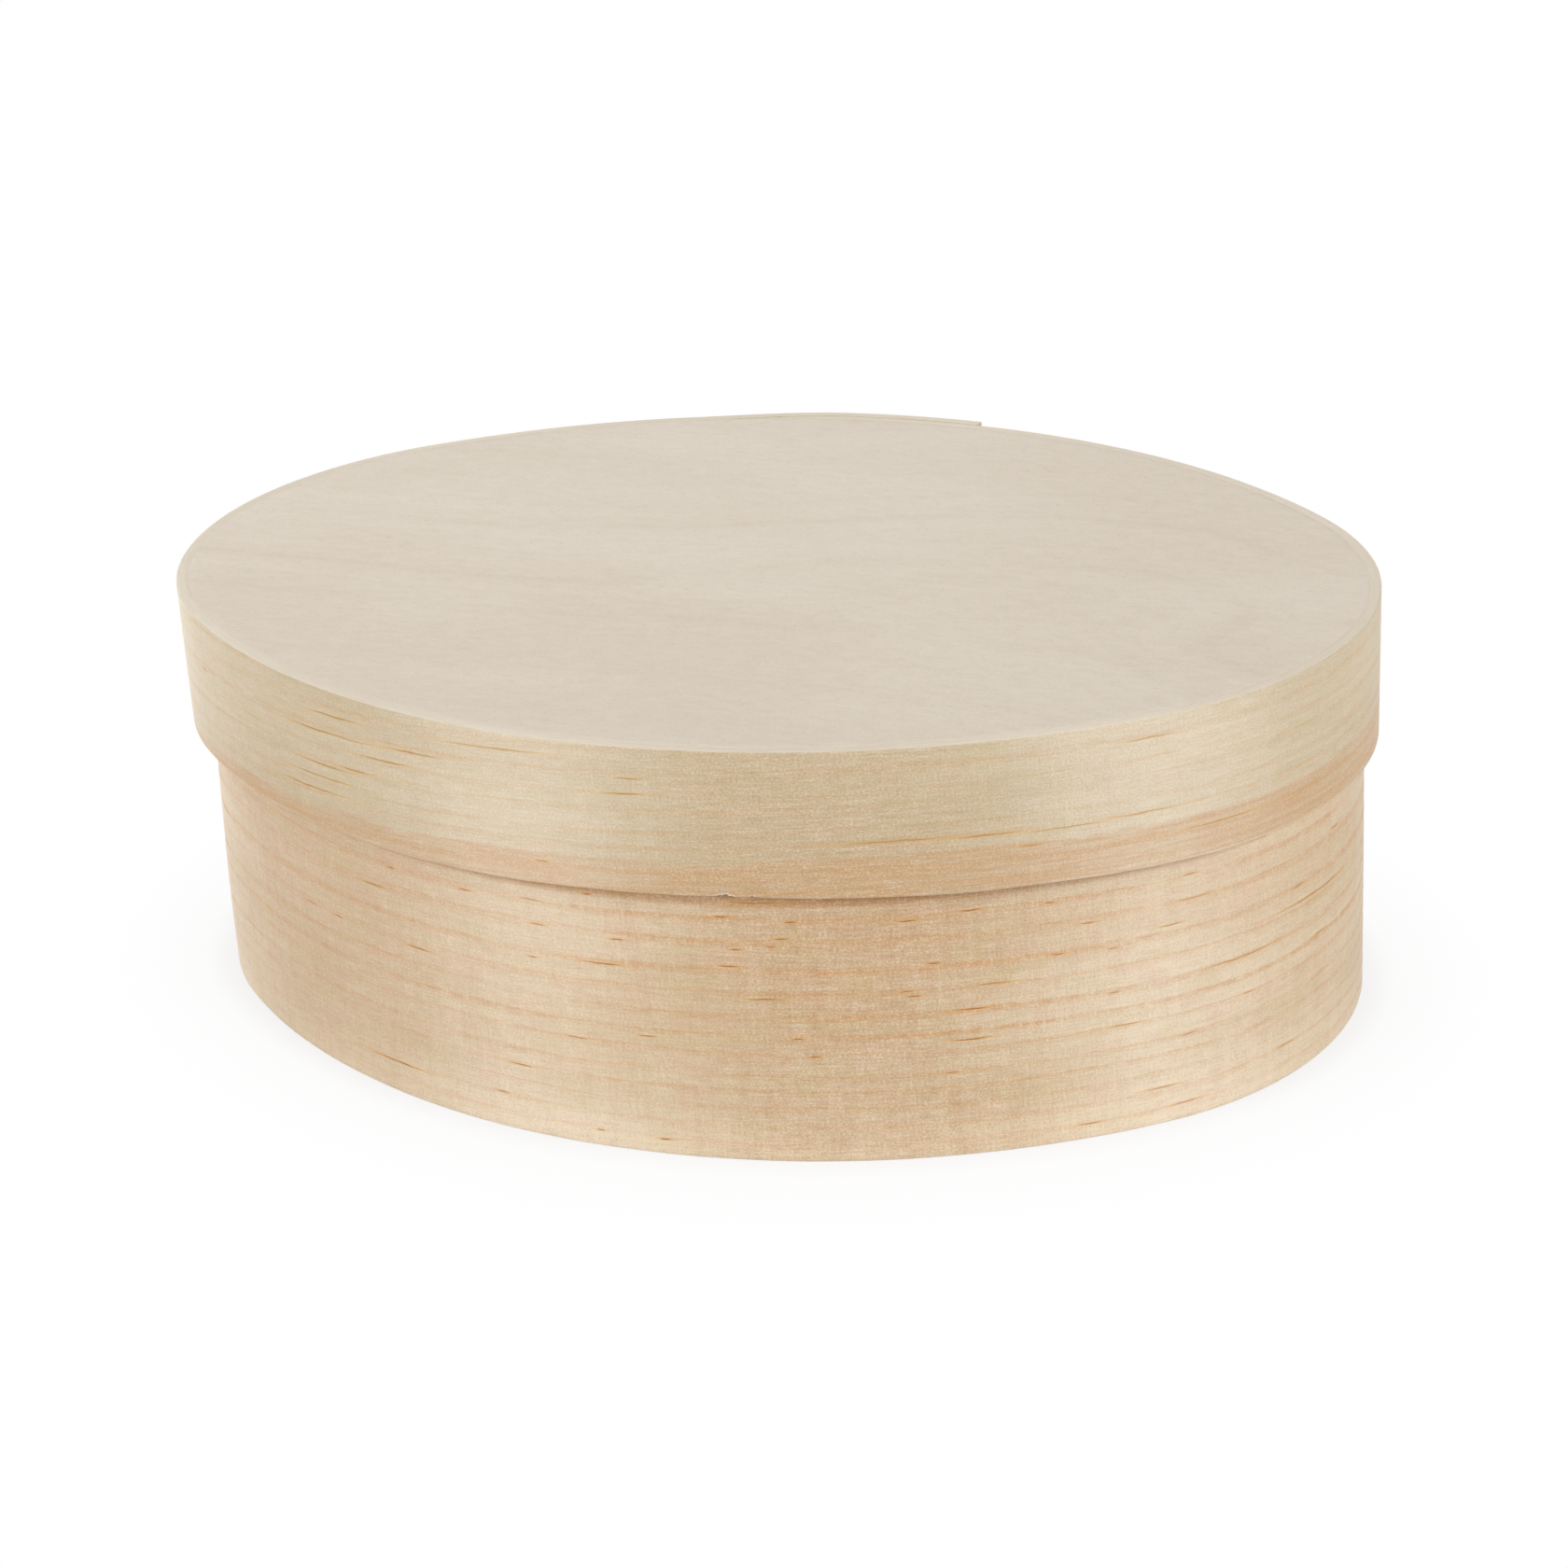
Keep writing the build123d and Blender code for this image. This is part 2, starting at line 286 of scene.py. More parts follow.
def make_strip(
    name, strip, low, high, roundings, relief, low_edge, high_edge, step, rows, chips=()
):
    """A bent strip of veneer.

    low_edge and high_edge tell how far the edges wander up or down at a distance along the strip.
    relief tells how far both faces stand out, and how much further the outer face does, at a
    distance along, a height and a share of the height. A chip has its place along the lower edge,
    its reach to both sides, its height and its depth.
    """
    steps = int(ceil((strip.inner_end - strip.outer_end) / step))
    along = np.linspace(strip.outer_end, strip.inner_end, steps + 1)
    for middle, reach, _, _ in chips:
        along = np.union1d(along, np.linspace(middle - 2.5 * reach, middle + 2.5 * reach, 25))
    stations = len(along)
    outer, inner = strip.offsets(along)
    low = low + low_edge(along)
    high = high + high_edge(along)
    out, up, unrolled = rounded_section(outer, inner, low, high, roundings, rows)
    ring = out.shape[1]

    face_share = np.clip((up - low[:, None]) / (high - low)[:, None], 0, 1)
    wander, surface = relief(along[:, None], up, face_share)
    out = out + wander + surface * (np.arange(ring) < rows)
    for middle, reach, rise, depth in chips:
        ragged = 1 + 0.35 * waves(along / MM, ((0.9, 1, middle / MM), (0.37, 0.6, 1.0)))
        broken = (ragged * bump_at(along, middle, reach))[:, None]
        near_edge = np.clip(1 - (up - low[:, None]) / (3 * rise), 0, 1)
        outside = np.clip((out - inner[:, None]) / strip.veneer, 0, 1)
        up = up + broken * near_edge * rise * outside
        out = out - broken * near_edge * depth * outside

    places, normals = strip.oval.follow(along)
    flat_places = places[:, None] + normals[:, None] * out[..., None]
    points = np.concatenate([flat_places, up[..., None]], -1).reshape(-1, 3)

    quads = closed_grid(stations, ring).reshape(-1, 4)
    at = np.arange(ring)
    after = (at + 1) % ring

    # Grain places, corner by corner. The inner face shows another part of the wood
    inside_start = rows + 2 * CORNER_STEPS + 1
    shift = np.zeros(ring)
    shift[inside_start:inside_start + rows] = INSIDE_GRAIN
    u = np.stack([along[:-1, None] + shift] * 2 + [along[1:, None] + shift] * 2, -1)
    higher = unrolled[:, after]
    v = np.stack([unrolled[:-1], higher[:-1], higher[1:], unrolled[1:]], -1)
    jump = np.abs(v[..., 0] - v[..., 1]) > 4 * strip.veneer
    v[..., 1] = np.where(jump, v[..., 0], v[..., 1])
    v[..., 2] = np.where(jump, v[..., 3], v[..., 2])
    grain = pairs(u, v)

    # Bake places: the strip is cut into rows, with its section unrolled up each row
    walk = np.hypot(out[:, after] - out, up[:, after] - up)
    climb = np.concatenate([np.zeros((stations, 1)), np.cumsum(walk, 1)], 1)
    tall = climb[:, -1].max()
    rows_cut = max(1, round(((along[-1] - along[0]) / tall) ** 0.5))
    per_row = int(ceil((stations - 1) / rows_cut))
    which, within = np.divmod(np.arange(stations - 1), per_row)
    wide = (1 - 2 * BAKE_MARGIN) / per_row
    left = BAKE_MARGIN + wide * within
    right = left + wide
    row_height = (1 - BAKE_MARGIN) / rows_cut
    scale = (row_height - BAKE_MARGIN) / tall
    foot = BAKE_MARGIN + which * row_height
    across = np.stack([left, left, right, right], -1)[:, None]
    climb = np.stack([climb[:-1, :-1], climb[:-1, 1:], climb[1:, 1:], climb[1:, :-1]], -1)
    flat = pairs(across, foot[:, None, None] + scale * climb)

    # The two cut ends, as ladders between the outer and the inner face
    order = (at + rows // 2) % ring
    near, far = order[: ring // 2], order[::-1][: ring // 2]
    ladder = np.stack([near[:-1], near[1:], far[1:], far[:-1]], -1)
    faces, grain, flat, ends = [quads], [grain], [flat], []
    for end, rungs in ((0, ladder[:, ::-1]), (stations - 1, ladder)):
        faces.append(end * ring + rungs)
        grain.append(pairs(along[end] + out[end, rungs], up[end, rungs]))
        flat.append(pairs(0.5 + 0.2 * (rungs % 2), 0.5) * BAKE_MARGIN)
        ends.append(end * ring + at)
    faces, grain, flat = (np.concatenate(parts) for parts in (faces, grain, flat))
    return build_mesh(name, points, faces.tolist(), grain, flat, ends)


class Wire:
    """A shader socket that stands in an expression as a number would."""

    def __init__(self, finish, socket):
        self.finish = finish
        self.socket = socket

    def part(self, output):
        """Another output of the same node, by its number or name."""
        return Wire(self.finish, self.socket.node.outputs[output])

    def maths(self, operation, *values):
        sockets = dict(enumerate(values))
        return self.finish.node("ShaderNodeMath", {"operation": operation}, sockets)

    def __add__(self, other):
        return self.maths("ADD", self, other)

    __radd__ = __add__

    def __sub__(self, other):
        return self.maths("SUBTRACT", self, other)

    def __rsub__(self, other):
        return self.maths("SUBTRACT", other, self)

    def __mul__(self, other):
        return self.maths("MULTIPLY", self, other)

    __rmul__ = __mul__

    def __truediv__(self, other):
        return self.maths("DIVIDE", self, other)

    def __rtruediv__(self, other):
        return self.maths("DIVIDE", other, self)

    def __pow__(self, other):
        return self.maths("POWER", self, other)

    def __abs__(self):
        return self.maths("ABSOLUTE", self)

    def floor(self):
        return self.maths("FLOOR", self)

    def at_least(self, other):
        return self.maths("MAXIMUM", self, other)

    def at_most(self, other):
        return self.maths("MINIMUM", self, other)

    def above(self, other):
        return self.maths("GREATER_THAN", self, other)


class Finish:
    """The node tree of a material or of the surroundings, under construction."""

    def __init__(self, owner, look=None):
        self.owner = owner
        self.look = look
        owner.use_nodes = True
        self.tree = owner.node_tree
        self.tree.nodes.clear()

    def node(self, kind, settings, sockets, output=0):
        """Adds a node: its settings first, then the values or wires of its sockets."""
        made = self.tree.nodes.new(kind)
        for name, value in settings.items():
            if name == "stops":
                self.set_stops(made.color_ramp, value)
            else:
                setattr(made, name, value)
        for socket, value in sockets.items():
            if isinstance(value, Wire):
                self.tree.links.new(value.socket, made.inputs[socket])
            else:
                made.inputs[socket].default_value = value
        return Wire(self, made.outputs[output]) if made.outputs else None

    def set_stops(self, ramp, stops):
        while len(ramp.elements) < len(stops):
            ramp.elements.new(1.0)
        for element, (position, level) in zip(ramp.elements, stops):
            element.position = position
            element.color = (level, level, level, 1.0)

    def vector(self, operation, *values, output=0):
        sockets = dict(enumerate(values))
        return self.node("ShaderNodeVectorMath", {"operation": operation}, sockets, output)

    def mix(self, share, first, second):
        """Two colours mixed by a share of the second."""
        sockets = {0: share, 6: self.colour(first), 7: self.colour(second)}
        return self.node("ShaderNodeMix", {"data_type": "RGBA"}, sockets, 2)

    def tint(self, share, tone):
        """Lays another of the look's colours over the colour so far."""
        self.coat = self.mix(share, self.coat, self.look[tone])

    def colour(self, value):
        return value if isinstance(value, Wire) else (*painted(*value), 1.0)

    def fade(self, value, start, end):
        """0 at the start, 1 at the end, and smooth between."""
        sockets = {0: value, 1: start, 2: end, 3: 0.0, 4: 1.0}
        return self.node("ShaderNodeMapRange", {"interpolation_type": "SMOOTHSTEP"}, sockets)

    def together(self, along, across):
        """One place from its two distances."""
        return self.node("ShaderNodeCombineXYZ", {}, {0: along, 1: across, 2: 0.0})

    def grain_place(self):
        """The place on the grain map in millimetres: along the grain, and across it."""
        place = self.node("ShaderNodeUVMap", {"uv_map": GRAIN_MAP}, {})
        return self.vector("MULTIPLY", place, (1 / MM, 1 / MM, 0.0))

    def noise(self, long_mm, high_mm, number, detail=2.0, roughness=0.5):
        """A smooth random pattern around 0.5, whose grains are that long and that high."""
        shares = (1 / long_mm, 1 / high_mm, 0.0)
        number += self.look["seed"]
        start = (number * 7.31, number * 3.77, 0.0)
        scaled = self.vector("MULTIPLY_ADD", self.place, shares, start)
        settings = {"noise_dimensions": "2D"}
        sockets = {"Vector": scaled, "Scale": 1.0, "Detail": detail, "Roughness": roughness}
        return self.node("ShaderNodeTexNoise", settings, sockets)

    def oval_distance(self, place, middle, halves):
        """How far a place is from the middle of a flat oval: 1 is the oval's rim."""
        shares = (1 / halves[0], 1 / halves[1], 0.0)
        start = (-middle[0] / halves[0], -middle[1] / halves[1], 0.0)
        scaled = self.vector("MULTIPLY_ADD", place, shares, start)
        return self.vector("LENGTH", scaled, output=1)

    def streaks(self, place, streaks_mm, half_thickness, grain_rise):
        """How far a place is from its nearest resin streak: 1 is a streak's rim.

        grain_rise tells how much the grain has climbed at a distance along the strip.
        """
        nearest = None
        for start, end, height in streaks_mm:
            middle = (start + end) / 2
            halves = (1.1 * (end - start) / 2, half_thickness)
            distance = self.oval_distance(place, (middle, height - grain_rise(middle)), halves)
            nearest = distance if nearest is None else nearest.at_most(distance)
        return nearest

    def finished(self, roughness, relief, sockets):
        """Closes the material with its shader and its fine relief."""
        depth = self.look["relief_mm"] * MM
        rise = {"Strength": 1.0, "Distance": depth, "Height": relief}
        bump = self.node("ShaderNodeBump", {}, rise)
        sockets = {"Base Color": self.coat, "Roughness": roughness, "Normal": bump, **sockets}
        shader = self.node("ShaderNodeBsdfPrincipled", {}, sockets)
        self.node("ShaderNodeOutputMaterial", {}, {"Surface": shader})
        return self.owner


def ring_phase(finish, level, lines):
    """How a height lies among listed lines: the nearest, how far it is, and its strength."""
    heights, weights = zip(*lines)
    low, high = heights[0], heights[-1]
    count = len(lines) - 1
    share = {0: (level - low) / (high - low)}
    places = [(height - low) / (high - low) for height in heights]
    numbered = [(place, n / count) for n, place in enumerate(places)]
    phase = finish.node("ShaderNodeValToRGB", {"stops": numbered}, share) * count
    weight = finish.node("ShaderNodeValToRGB", {"stops": list(zip(places, weights))}, share)
    nearest = (phase + 0.5).floor()
    return nearest, phase - nearest, weight


def veneer_finish(name, look, low, high):
    """Peeled pine veneer: growth rings along the strip, fibres, speckle and resin streaks."""
    finish = Finish(bpy.data.materials.new(name), look)
    fade, tint, noise = finish.fade, finish.tint, finish.noise
    parts = finish.node("ShaderNodeSeparateXYZ", {}, {0: finish.grain_place()})
    along, height = parts, parts.part(1)

    # The grain may climb along the strip
    slope, start, end = look["slope_mm"]

    def grain_rise(distance):
        return slope * (min(max(distance, start), end) - end)

    grain_height = height - (along.at_least(start).at_most(end) - end) * slope
    place = finish.place = finish.together(along, grain_height)

    # Growth rings, which wander slowly up and down
    slow = noise(85.0, 40.0, 0) - 0.5
    quick = noise(15.0, 5.0, 1) - 0.5
    level = grain_height + slow * look["wander_mm"] + quick * (0.45 * look["wander_mm"])
    ring, from_line, weight = ring_phase(finish, level, look["rings_mm"])
    late = fade(from_line, -0.36, -0.02) * (1.0 - fade(from_line, 0.02, 0.2))
    patches = noise(26.0, 2.4, 2, 3.0)
    bold = 1.0 - look["calm_share"] * (1.0 - fade(along, -55.0, 5.0))
    mottle = noise(1.5, 1.0, 16)
    late = late * fade(patches, 0.24, 0.6) * weight * bold
    late = late * (0.5 + fade(mottle, 0.3, 0.7))
    thin = 1.0 - fade(abs(from_line - 0.03 + quick * 0.12), 0.01, 0.07)
    thin = thin * fade(noise(14.0, 1.6, 14), 0.42, 0.58) * bold

    def patch_at(wander_mm, middle, reach):
        """A patch of another colour: 1 round its middle, and 0 from its reach on."""
        away = abs(along + slow * wander_mm - middle)
        return 1.0 - fade(away, 0.3 * reach, reach)

    # Body colour: clouds, a warmer part, patches, a painted sheen towards the right end of the
    # front, a painted shade under the lid's edge, and the lid's tan lower part
    clouds = noise(60.0, 16.0, 3, 3.0)
    finish.coat = finish.mix(fade(clouds, 0.35, 0.65), look["light"], look["body"])
    warm = fade(height + slow * 3.0, *look["warm_mm"]) * look["warm_share"]
    patch = patch_at(40.0, *look["patch_mm"])
    left_patch = patch_at(30.0, *look["left_patch_mm"])
    sheen_patch = patch_at(20.0, *look["sheen_patch_mm"])
    warm = warm + patch * look["patch_share"] + left_patch * look["left_patch_share"]
    tint(warm.at_most(1.0), "warm")
    # Painted sheen: a paler patch towards the right end of the front, where the right lamps' sheen
    # falls; rings and streaks are fainter there
    tint(sheen_patch * look["sheen_patch_share"], "gleam")
    cast = noise(9.0, 3.4, 15)
    tint(fade(cast, 0.5, 0.72) * 0.3, "blush")
    tint((1.0 - fade(cast, 0.28, 0.5)) * 0.3, "straw")
    inside = 0.0
    if "band_mm" in look:
        inside = 1.0 - fade(level + quick * 1.4 - look["band_mm"], -0.5, 0.5)
        fine_lines = fade(noise(20.0, 0.8, 10), 0.3, 0.7)
        tint(inside * (0.45 + 0.6 * fine_lines), "band")
    late_share = look["late_share"] + inside * 0.35 - sheen_patch * 0.2
    tint(late * late_share, "late")
    tint(thin * look["thin_share"], "thin")
    # Painted shade: a warm dark line on the base just under the lid's lower edge, strongest across
    # the front, where the lid's overhang shades the base
    crease_shade = 0.0
    if "crease_shade_mm" in look:
        low_out, low_in, high_in, high_out = look["crease_shade_mm"]
        crease_shade = fade(height, low_out, low_in) * (1.0 - fade(height, high_in, high_out))
        crease_shade = crease_shade * (fade(along, -50.0, -5.0) - 0.8 * fade(along, 50.0, 85.0))
        tint(crease_shade * 0.6, "crease_shade")
    if "foot_mm" in look:
        foot = 1.0 - fade(height + quick * 6.0, *look["foot_mm"])
        tint(foot * 0.4, "cut")

    # Fibres along the strip, lathe checks across it, and speckle
    fibres = noise(5.0, 0.3, 4, 3.0, 0.6)
    threads = noise(24.0, 0.9, 5)
    blotches = noise(2.6, 1.3, 11)
    checks = noise(0.55, 1.9, 7, 2.0, 0.6)
    ripples = noise(2.3, 14.0, 12, 2.0, 0.6)
    speckle = noise(0.4, 0.3, 6, 2.0, 0.7)
    dark = (0.5 - fibres) * look["fibre_share"] + (0.5 - threads) * 0.34 + (0.5 - blotches) * 0.32
    dark = dark + (0.5 - checks) * look["check_share"] + (0.5 - ripples) * look["ripple_share"]
    dark = (dark + (0.5 - speckle) * 1.5) * look["grain_share"]
    dark = dark * (1.0 + patch * look["crisp_share"])
    tint(dark.at_least(0.0).at_most(1.0), "fibre")
    tint((dark * -1.0).at_least(0.0).at_most(1.0), "gleam")

    # Resin streaks: listed ones on the front, and the same kind at random round the rest
    ragged = (noise(3.2, 1.2, 8) - 0.5) * 0.3
    shaken = finish.vector("ADD", place, finish.together(0.0, ragged))
    chosen = finish.streaks(shaken, look["streaks_mm"], HALF_STREAK_MM, grain_rise)
    cell_mm = look["streak_cell_mm"]
    lane = along / cell_mm + ring * 0.37
    cell = lane.floor()
    key = {"Vector": finish.together(cell, ring)}
    chance = finish.node("ShaderNodeTexWhiteNoise", {"noise_dimensions": "2D"}, key, 1)
    hues = finish.node("ShaderNodeSeparateColor", {}, {0: chance})
    half_mm = 1.0 + hues * look["streak_spread_mm"]
    across_mm = (from_line + (hues.part(1) - 0.5) * 0.3) * look["ring_pitch_mm"] + ragged * 0.6
    along_mm = (lane - cell - 0.5) * cell_mm
    shares = finish.together(along_mm / half_mm, across_mm / HALF_STREAK_MM)
    scattered = finish.vector("LENGTH", shares, output=1)
    absent = hues.part(2).above(look["streak_chance"]) * FAR_AWAY
    seen_front = 1.0 - abs(along - FRONT_MIDDLE_MM).above(HALF_FRONT_MM)
    nearest = chosen.at_most(scattered + absent + seen_front * FAR_AWAY)
    strength = 0.7 + 0.3 * fade(noise(7.0, 2.0, 9), 0.25, 0.6)
    strength = strength * (1.0 - 0.3 * sheen_patch)
    halo = (1.0 - fade(nearest, 0.5, 1.5)) * strength
    tint(halo * 0.7, "halo")
    resin = (1.0 - fade(nearest, 0.25, 0.85)) * strength
    tint(resin * 0.92, "resin")

    # Cut edges are pale, and so are the places where the lower edge has chipped
    top_cut = fade(height, high / MM - 0.1, high / MM + 0.1)
    low_cut = 1.0 - fade(height, low / MM - 0.5, low / MM - 0.1)
    cut = top_cut.at_least(low_cut * 0.5)
    if "chips_mm" in look:
        from_chip = finish.streaks(shaken, look["chips_mm"], HALF_CHIP_MM, grain_rise)
        cut = cut.at_least(1.0 - fade(from_chip, 0.5, 1.1))
    cut_fibres = fade(noise(6.0, 0.4, 13), 0.35, 0.7)
    edge_colour = finish.mix(cut_fibres * 0.2, look["cut"], look["light"])
    finish.coat = finish.mix(cut * 0.9, finish.coat, edge_colour)

    # Cut edges, resin and the painted crease shade are duller
    dull = cut * 0.5 + resin * 0.3 + crease_shade * 0.35
    roughness = VENEER_ROUGHNESS + (fibres - 0.5) * 0.12 + late * 0.04 + dull
    relief = late * 0.4 + fibres * 0.5 + speckle * 0.9 + checks * 0.9 + ripples * 1.4 - resin * 0.5
    return finish.finished(roughness, relief, VENEER_SATIN)


def sheet_finish(name, look):
    """A pale, close-grained sheet with a faint figure, fine pores and a soft tooth."""
    finish = Finish(bpy.data.materials.new(name), look)
    fade, tint, noise = finish.fade, finish.tint, finish.noise
    place = finish.place = finish.grain_place()
    parts = finish.node("ShaderNodeSeparateXYZ", {}, {0: place})
    along, across = parts, parts.part(1)

    # The figure: long faint lines that climb to the right and fall again round an oval heart
    slow = noise(90.0, 50.0, 0) - 0.5
    quick = noise(20.0, 7.0, 1) - 0.5
    climb = fade(along, -46.0, 42.0) * (0.2 + 0.8 * fade(across, -22.0, 4.0))
    fall = fade(along, 60.0, 94.0)
    level = across - 25.0 * climb + 15.0 * fall + slow * look["wander_mm"] + quick * 2.6
    _, from_line, weight = ring_phase(finish, level, look["lines_mm"])
    line = fade(from_line, -0.22, 0.0) * (1.0 - fade(from_line, 0.0, 0.1))
    patches = noise(30.0, 8.0, 2, 3.0)
    line = line * fade(patches, 0.28, 0.62) * weight
    from_heart = finish.oval_distance(place, look["heart_mm"], look["half_heart_mm"])
    loop = fade(from_heart, 0.75, 1.0) * (1.0 - fade(from_heart, 1.0, 1.3))
    line = line.at_least(loop * fade(patches, 0.35, 0.6) * 0.8)

    clouds = noise(60.0, 24.0, 3, 3.0)
    finish.coat = finish.mix(fade(clouds, 0.32, 0.68), look["light"], look["body"])
    shade = fade(from_line, -0.5, -0.05) * weight
    tint(shade * 0.12, "line")
    tint(line * look["line_share"], "line")
    # Painted shade: the sheet darkens towards its front, where less light falls on the top
    front_shade = 1.0 - fade(across, -72.0, 16.0)
    tint(front_shade * 0.3, "line")

    pores = noise(1.7, 0.24, 5, 2.0, 0.6)
    speckle = noise(0.55, 0.42, 6, 2.0, 0.65)
    tufts = noise(4.2, 1.5, 8)
    flecks = fade(noise(1.3, 0.4, 7, 0.0), 0.71, 0.82)
    dark = (0.5 - pores) * 0.5 + (0.5 - speckle) * 1.0 + (0.5 - tufts) * 0.75
    dark = dark * look["grain_share"]
    tint(dark.at_least(0.0), "fibre")
    tint((dark * -1.0).at_least(0.0), "gleam")
    tint(flecks * 0.14, "fibre")

    roughness = 0.66 + (pores - 0.5) * 0.2
    relief = pores * 0.8 + speckle * 0.9 - flecks * 0.4
    return finish.finished(roughness, relief, {"Specular IOR Level": 0.4})


# Colours as they are seen on a screen
LID_LOOK = dict(
    seed=3,
    rings_mm=LID_RINGS_MM,
    ring_pitch_mm=3.3,
    wander_mm=1.1,
    slope_mm=(0.037, -120.0, 45.0),
    light=(192, 176, 146),
    body=(184, 166, 134),
    warm=(179, 155, 118),
    warm_mm=(69.0, 50.0),
    warm_share=0.15,
    patch_mm=(33.0, 32.0),
    patch_share=0.5,
    left_patch_mm=(-45.0, 30.0),
    left_patch_share=0.1,
    # painted sheen towards the right end of the front: its middle and reach, and how strong it is
    sheen_patch_mm=(85.0, 26.0),
    sheen_patch_share=0.17,
    blush=(194, 166, 136),
    straw=(185, 167, 124),
    band=(184, 148, 106),
    band_mm=51.6,
    late=(184, 146, 100),
    late_share=0.4,
    thin=(190, 144, 78),
    thin_share=0.3,
    calm_share=0.0,
    fibre=(156, 114, 64),
    gleam=(224, 212, 194),
    grain_share=0.66,
    crisp_share=0.5,
    fibre_share=0.78,
    check_share=0.22,
    ripple_share=0.12,
    resin=(156, 114, 46),
    halo=(200, 158, 88),
    cut=(219, 207, 188),
    chips_mm=((20.4, 23.8, 45.3), (25.7, 26.9, 45.2)),
    streaks_mm=LID_STREAKS_MM,
    streak_cell_mm=46.0,
    streak_spread_mm=12.0,
    streak_chance=0.3,
    relief_mm=0.032,
)

BASE_LOOK = dict(
    seed=17,
    rings_mm=BASE_RINGS_MM,
    ring_pitch_mm=3.4,
    wander_mm=0.9,
    slope_mm=(0.0, -1.0, 1.0),
    light=(199, 179, 147),
    body=(191, 167, 131),
    warm=(181, 149, 112),
    warm_mm=(8.0, 56.0),
    warm_share=0.32,
    patch_mm=(36.0, 36.0),
    patch_share=0.45,
    left_patch_mm=(-54.0, 38.0),
    left_patch_share=0.36,
    # painted sheen towards the right end of the front: its middle and reach, and how strong it is
    sheen_patch_mm=(100.0, 36.0),
    sheen_patch_share=0.17,
    blush=(200, 162, 131),
    straw=(188, 169, 120),
    # painted shade under the lid's lower edge: its colour, and where it fades in and out, in
    # millimetres of height
    crease_shade=(174, 124, 70),
    crease_shade_mm=(42.2, 43.6, 43.9, 45.0),
    foot_mm=(0.0, 10.0),
    late=(188, 145, 98),
    late_share=0.74,
    thin=(190, 142, 76),
    thin_share=0.42,
    calm_share=0.3,
    fibre=(160, 108, 60),
    gleam=(230, 213, 190),
    grain_share=0.7,
    crisp_share=0.5,
    fibre_share=0.85,
    check_share=0.42,
    ripple_share=0.38,
    resin=(150, 87, 8),
    halo=(202, 153, 72),
    cut=(222, 203, 174),
    streaks_mm=BASE_STREAKS_MM,
    streak_cell_mm=15.0,
    streak_spread_mm=5.0,
    streak_chance=0.36,
    relief_mm=0.04,
)

SHEET_LOOK = dict(
    seed=31,
    lines_mm=SHEET_LINES_MM,
    wander_mm=5.0,
    heart_mm=(66.0, 2.5),
    half_heart_mm=(8.0, 6.0),
    light=(220, 209, 193),
    body=(216, 204, 187),
    line=(203, 189, 168),
    line_share=0.26,
    fibre=(172, 152, 126),
    gleam=(240, 233, 221),
    grain_share=0.36,
    relief_mm=0.03,
)

# Lengths and thicknesses of the two laps
LID_LAP = dict(
    right_of_middle=0.0105,
    flat=0.024,
    ramp=0.028,
    outer_tip=0.0019,
    inner_tip=0.0003,
)
BASE_LAP = dict(
    right_of_middle=0.004,
    flat=0.003,
    ramp=0.046,
    outer_tip=0.00035,
    inner_tip=0.0003,
)


class CheeseBoxSizes(bpy.types.PropertyGroup):
    """Sizes of the box that a maker would set"""

    end_radius: FloatProperty(
        name="End radius",
        description="Radius of the lid's two ends",
        default=0.0585,
        unit="LENGTH",
    )
    veneer: FloatProperty(
        name="Veneer",
        description="Thickness of the bent strips",
        default=0.0019,
        precision=4,
        unit="LENGTH",
    )
    glue_line: FloatProperty(
        name="Glue line",
        description="Gap between glued faces",
        default=0.00015,
        precision=5,
        unit="LENGTH",
    )
    edge_rounding: FloatProperty(
        name="Edge rounding",
        description="Radius that sanding leaves on a strip's edges",
        default=0.00025,
        precision=5,
        unit="LENGTH",
    )


class CheeseBoxStudio(bpy.types.PropertyGroup):
    """The camera and the light"""

    focal_length: FloatProperty(
        name="Focal length",
        description="In millimetres, on a sensor that is 36 mm wide",
        default=89.04,
    )
    surrounding_light: FloatProperty(
        name="Surrounding light",
        description="Strength of the even light from all sides",
        default=0.28,
    )
    backdrop: FloatVectorProperty(
        name="Backdrop",
        description="Colour of the floor",
        subtype="COLOR",
        default=painted(222, 222, 222),
        min=0,
        max=1,
    )


def lid_oval(sizes):
    half = (lid_high - lid_low) / 2
    return Oval(half.x, -lid_low.y, sizes.end_radius)


def base_oval(sizes):
    half = (base_high - base_low) / 2
    return Oval(half.x, -base_low.y, sizes.end_radius - SKIRT_GAP)


